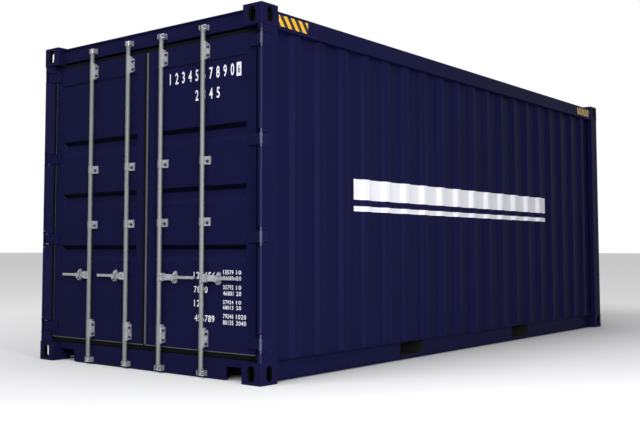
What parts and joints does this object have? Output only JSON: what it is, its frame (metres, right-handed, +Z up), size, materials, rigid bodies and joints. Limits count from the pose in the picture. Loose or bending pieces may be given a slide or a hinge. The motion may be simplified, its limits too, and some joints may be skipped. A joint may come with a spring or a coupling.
{
  "type": "shipping container",
  "caption": "Steel dry-freight container with ribbed walls, twin rear doors on locking bars, lever handles and cast corners.",
  "frame": {"origin": "middle of the base, level with the undersides of the bottom corner castings", "axes": "+Z up, +Y from the door end to the blind end, +X to the right when facing the doors"},
  "size_m": [2.438, 6.058, 2.591],
  "materials": {
    "paint": "satin",
    "hardware": "galvanised",
    "seal": "matt",
    "floor": "worn satin",
    "underframe": "matt"
  },
  "bodies": {
    "frame": {"castings_door_bottom": "paint", "castings_door_top": "paint", "castings_end_bottom": "paint", "castings_end_top": "paint", "door_post_left": "paint", "door_post_right": "paint", "end_post_left": "paint", "end_post_right": "paint", "door_header": "paint", "door_sill": "paint", "end_header": "paint", "end_sill": "paint", "top_rail_left": "paint", "top_rail_right": "paint", "bottom_rail_left": "paint", "bottom_rail_right": "paint", "side_wall_left": "paint", "side_wall_right": "paint", "end_wall": "paint", "roof": "paint", "floor": "floor", "cross_members": "underframe", "forklift_pockets": "underframe", "hinge_pins_left": "paint", "hinge_pins_right": "paint", "cam_keepers": "hardware"},
    "door_left": {"door_frame_left": "paint", "door_panel_left": "paint", "door_seal_left": "seal", "door_hinges_left": "paint", "door_fittings_left": "hardware"},
    "locking_bar_left_inner": {"locking_bar_left_inner": "hardware"},
    "handle_left_inner": {"handle_left_inner": "hardware"},
    "locking_bar_left_outer": {"locking_bar_left_outer": "hardware"},
    "handle_left_outer": {"handle_left_outer": "hardware"},
    "door_right": {"door_frame_right": "paint", "door_panel_right": "paint", "door_seal_right": "seal", "door_hinges_right": "paint", "door_fittings_right": "hardware"},
    "locking_bar_right_inner": {"locking_bar_right_inner": "hardware"},
    "handle_right_inner": {"handle_right_inner": "hardware"},
    "locking_bar_right_outer": {"locking_bar_right_outer": "hardware"},
    "handle_right_outer": {"handle_right_outer": "hardware"}
  },
  "joints": [
    {"name": "door_left_swing", "type": "hinge", "parent": "frame", "child": "door_left", "pos_m": [-1.203, -3.013, 1.3], "axis": [0, 0, 1], "range_deg": [-267.5, 0]},
    {"name": "locking_bar_left_inner_turn", "type": "hinge", "parent": "door_left", "child": "locking_bar_left_inner", "pos_m": [-0.188, -2.997, 1.3], "axis": [0, 0, 1], "range_deg": [0, 110]},
    {"name": "handle_left_inner_lift", "type": "hinge", "parent": "locking_bar_left_inner", "child": "handle_left_inner", "pos_m": [-0.229, -3.001, 0.703], "axis": [0, 1, 0], "range_deg": [0, 28]},
    {"name": "locking_bar_left_outer_turn", "type": "hinge", "parent": "door_left", "child": "locking_bar_left_outer", "pos_m": [-0.629, -2.997, 1.3], "axis": [0, 0, 1], "range_deg": [0, 110]},
    {"name": "handle_left_outer_lift", "type": "hinge", "parent": "locking_bar_left_outer", "child": "handle_left_outer", "pos_m": [-0.67, -3.001, 0.703], "axis": [0, 1, 0], "range_deg": [0, 28]},
    {"name": "door_right_swing", "type": "hinge", "parent": "frame", "child": "door_right", "pos_m": [1.203, -3.013, 1.3], "axis": [0, 0, 1], "range_deg": [0, 267.5]},
    {"name": "locking_bar_right_inner_turn", "type": "hinge", "parent": "door_right", "child": "locking_bar_right_inner", "pos_m": [0.188, -2.997, 1.3], "axis": [0, 0, 1], "range_deg": [-110, 0]},
    {"name": "handle_right_inner_lift", "type": "hinge", "parent": "locking_bar_right_inner", "child": "handle_right_inner", "pos_m": [0.229, -3.001, 0.703], "axis": [0, -1, 0], "range_deg": [0, 28]},
    {"name": "locking_bar_right_outer_turn", "type": "hinge", "parent": "door_right", "child": "locking_bar_right_outer", "pos_m": [0.629, -2.997, 1.3], "axis": [0, 0, 1], "range_deg": [-110, 0]},
    {"name": "handle_right_outer_lift", "type": "hinge", "parent": "locking_bar_right_outer", "child": "handle_right_outer", "pos_m": [0.67, -3.001, 0.703], "axis": [0, -1, 0], "range_deg": [0, 28]}
  ]
}
